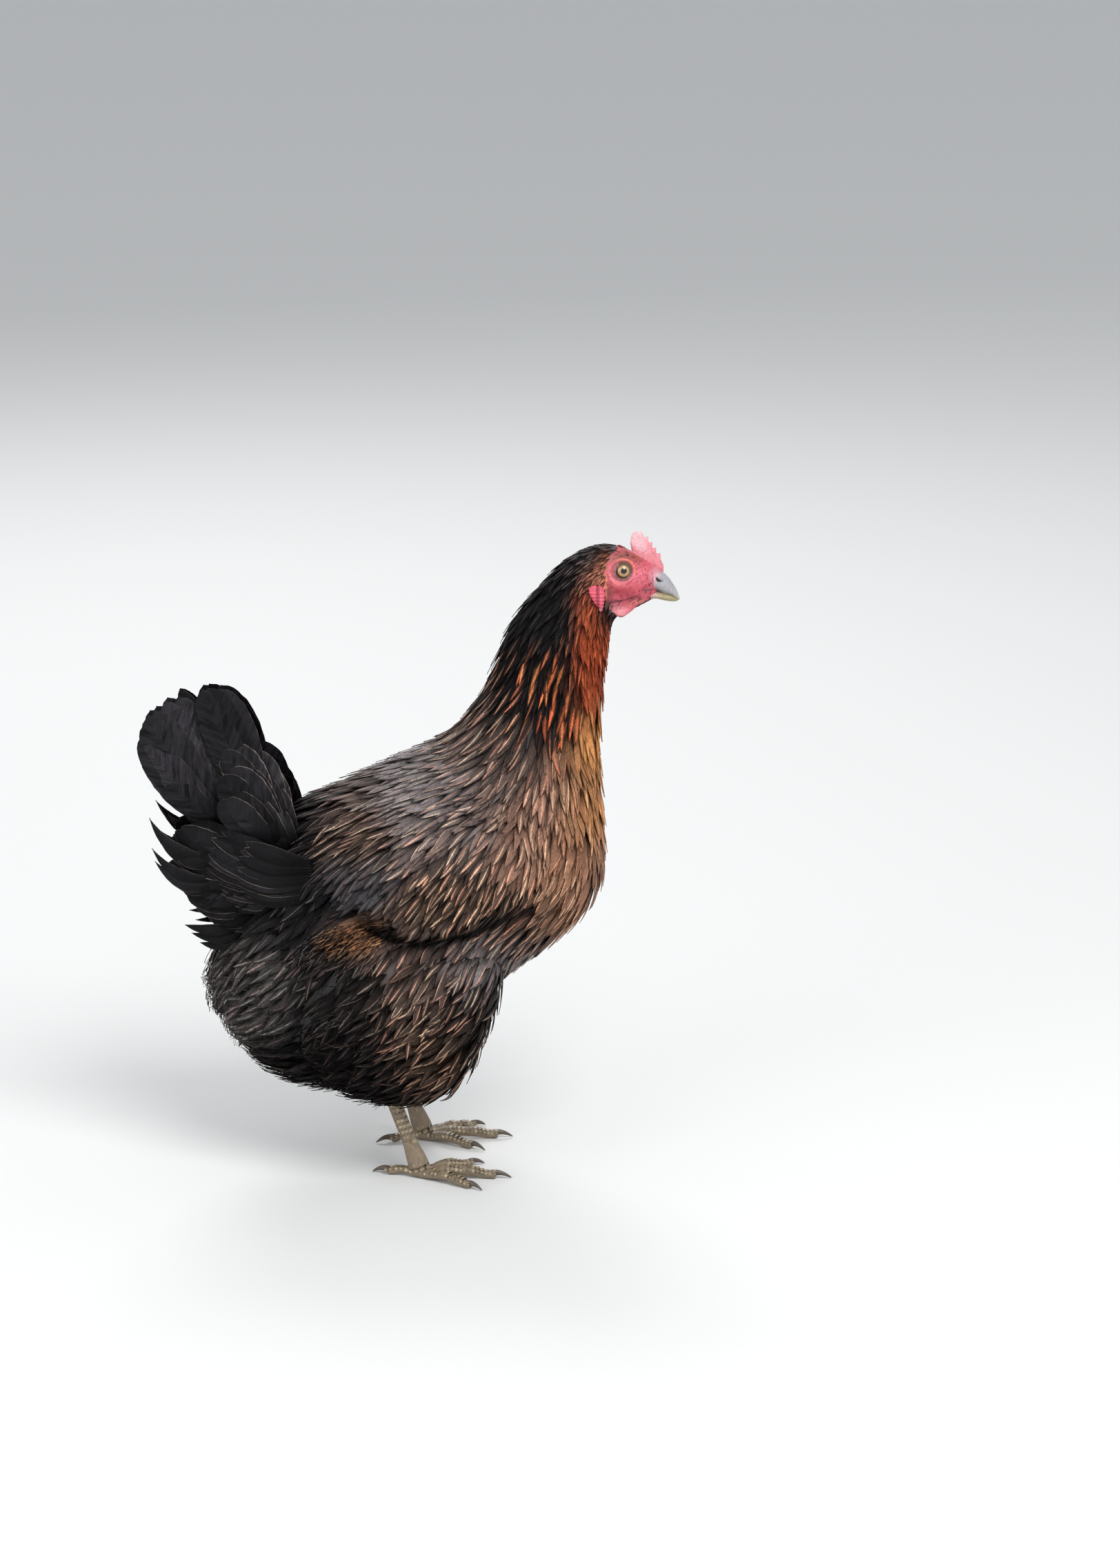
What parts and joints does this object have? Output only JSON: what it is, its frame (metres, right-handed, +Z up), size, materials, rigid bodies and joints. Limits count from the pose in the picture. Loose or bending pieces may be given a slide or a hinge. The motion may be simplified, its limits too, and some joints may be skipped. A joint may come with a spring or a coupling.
{
  "type": "hen model",
  "caption": "Life-size still model of a standing black and gold laced hen, head high, tail fanned, with feathered body, small comb and scaled legs.",
  "frame": {"origin": "on the floor under the middle of the hen's box, midway between the beak tip and the tail tip", "axes": "+X the way the hen faces, +Y its left side, +Z up"},
  "size_m": [0.3821, 0.1888, 0.4622],
  "materials": {
    "laced_plumage": "matt feathers, dark brown laced with tan",
    "hackle": "long narrow feathers, black centres and rust edges",
    "wing_plumage": "close feathers, charcoal with tan streaks",
    "fluff": "loose soft feathers, brown black",
    "tail_quills": "stiff black feathers with a slight sheen",
    "face_skin": "bare crimson skin, finely pebbled",
    "comb_skin": "bare pink red skin, waxy",
    "beak": "grey horn, satin",
    "claws": "grey brown horn, satin",
    "leg_scales": "horn coloured scales, satin",
    "eyes": "amber iris, black pupil, wet gloss"
  },
  "bodies": {
    "root": {"beak_lower": "beak", "beak_upper": "beak", "claw_back_left": "claws", "claw_back_right": "claws", "claw_inner_left": "claws", "claw_inner_right": "claws", "claw_middle_left": "claws", "claw_middle_right": "claws", "claw_outer_left": "claws", "claw_outer_right": "claws", "comb": "comb_skin", "earlobe_left": "comb_skin", "earlobe_right": "comb_skin", "eye_left": "eyes", "eye_right": "eyes", "head": "face_skin", "neck": "hackle", "shank_left": "leg_scales", "shank_right": "leg_scales", "tail_cushion": "tail_quills", "tail_left": "tail_quills", "tail_right": "tail_quills", "thigh_left": "fluff", "thigh_right": "fluff", "toe_back_left": "leg_scales", "toe_back_right": "leg_scales", "toe_inner_left": "leg_scales", "toe_inner_right": "leg_scales", "toe_middle_left": "leg_scales", "toe_middle_right": "leg_scales", "toe_outer_left": "leg_scales", "toe_outer_right": "leg_scales", "trunk": "laced_plumage", "wattle_left": "comb_skin", "wattle_right": "comb_skin", "wing_left": "wing_plumage", "wing_right": "wing_plumage"}
  },
  "joints": []
}
